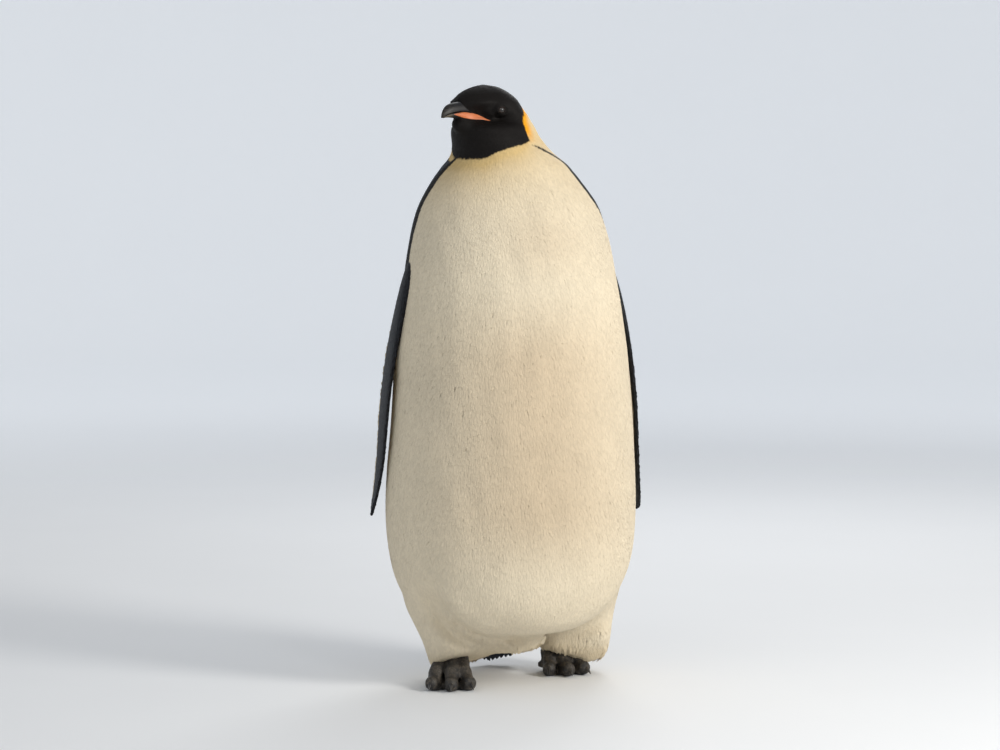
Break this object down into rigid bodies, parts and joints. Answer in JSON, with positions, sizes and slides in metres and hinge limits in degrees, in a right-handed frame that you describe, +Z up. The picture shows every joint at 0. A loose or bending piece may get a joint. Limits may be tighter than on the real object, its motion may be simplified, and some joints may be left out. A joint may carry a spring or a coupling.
{
  "type": "emperor penguin",
  "caption": "Life-size museum-style model of a standing emperor penguin, head turned to its right, flippers at its sides.",
  "frame": {"origin": "on the floor under the middle of the bird's bounding box", "axes": "+Z up along the bird's height, -Y the way its chest faces, +X to its left"},
  "size_m": [0.4838, 0.3868, 1.042],
  "materials": {
    "black_feather": "dense short black plumage with a soft sheen",
    "pale_feather": "dense plumage, golden beside the hood and fading to cream",
    "white_feather": "dense scale-like plumage, creamy white with a silky sheen",
    "slate_feather": "tight slate plumage with paler tips",
    "foot_skin": "dark grey scaly skin",
    "black_horn": "smooth black horn",
    "coral_horn": "smooth salmon-orange horn",
    "wet_eye": "wet dark brown eye"
  },
  "bodies": {
    "root": {"head": "black_feather", "neck": "pale_feather", "trunk": "white_feather", "flipper_right": "slate_feather", "flipper_left": "slate_feather", "tail": "slate_feather", "leg_right": "white_feather", "leg_left": "white_feather", "foot_right": "foot_skin", "foot_left": "foot_skin", "claw_right_inner": "black_horn", "claw_right_middle": "black_horn", "claw_right_outer": "black_horn", "claw_left_inner": "black_horn", "claw_left_middle": "black_horn", "claw_left_outer": "black_horn", "bill_upper": "black_horn", "bill_lower": "black_horn", "bill_plate_right": "coral_horn", "bill_plate_left": "coral_horn", "eye_right": "wet_eye", "eye_left": "wet_eye"}
  },
  "joints": []
}
